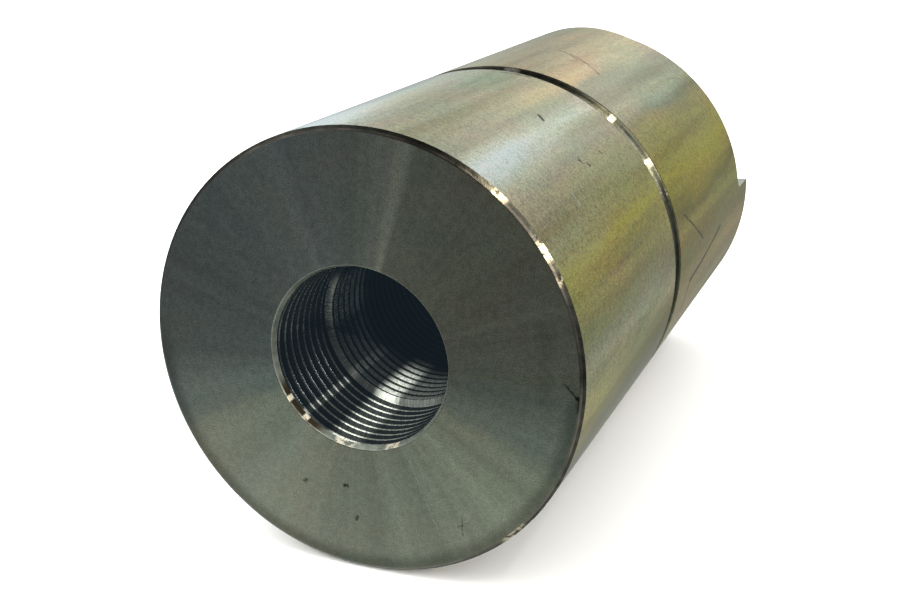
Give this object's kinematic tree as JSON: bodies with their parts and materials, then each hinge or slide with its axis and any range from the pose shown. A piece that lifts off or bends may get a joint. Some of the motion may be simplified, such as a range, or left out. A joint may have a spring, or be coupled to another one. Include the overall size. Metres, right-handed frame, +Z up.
{
  "type": "rigid sleeve coupling",
  "caption": "Thick round steel sleeve coupling with a threaded bore, a groove round its middle and two claws on its far end.",
  "frame": {"origin": "centre of the bounding box, on the coupling's axis and halfway along its whole length", "axes": "+Y along the axis from the plain front face to the claws, +Z up with the coupling lying on its side, +X to the right seen from the front"},
  "size_m": [0.104, 0.191, 0.104],
  "materials": {
    "front_sleeve_steel": "turned steel, zinc plated with a yellow passivate, satin with a faint rainbow tint",
    "rear_sleeve_steel": "turned steel, zinc plated with a yellow passivate, satin with a faint rainbow tint",
    "threaded_liner_steel": "cut thread in zinc plated steel, bright on its crests"
  },
  "bodies": {
    "root": {"front_sleeve": "front_sleeve_steel", "rear_sleeve": "rear_sleeve_steel", "threaded_liner": "threaded_liner_steel"}
  },
  "joints": []
}
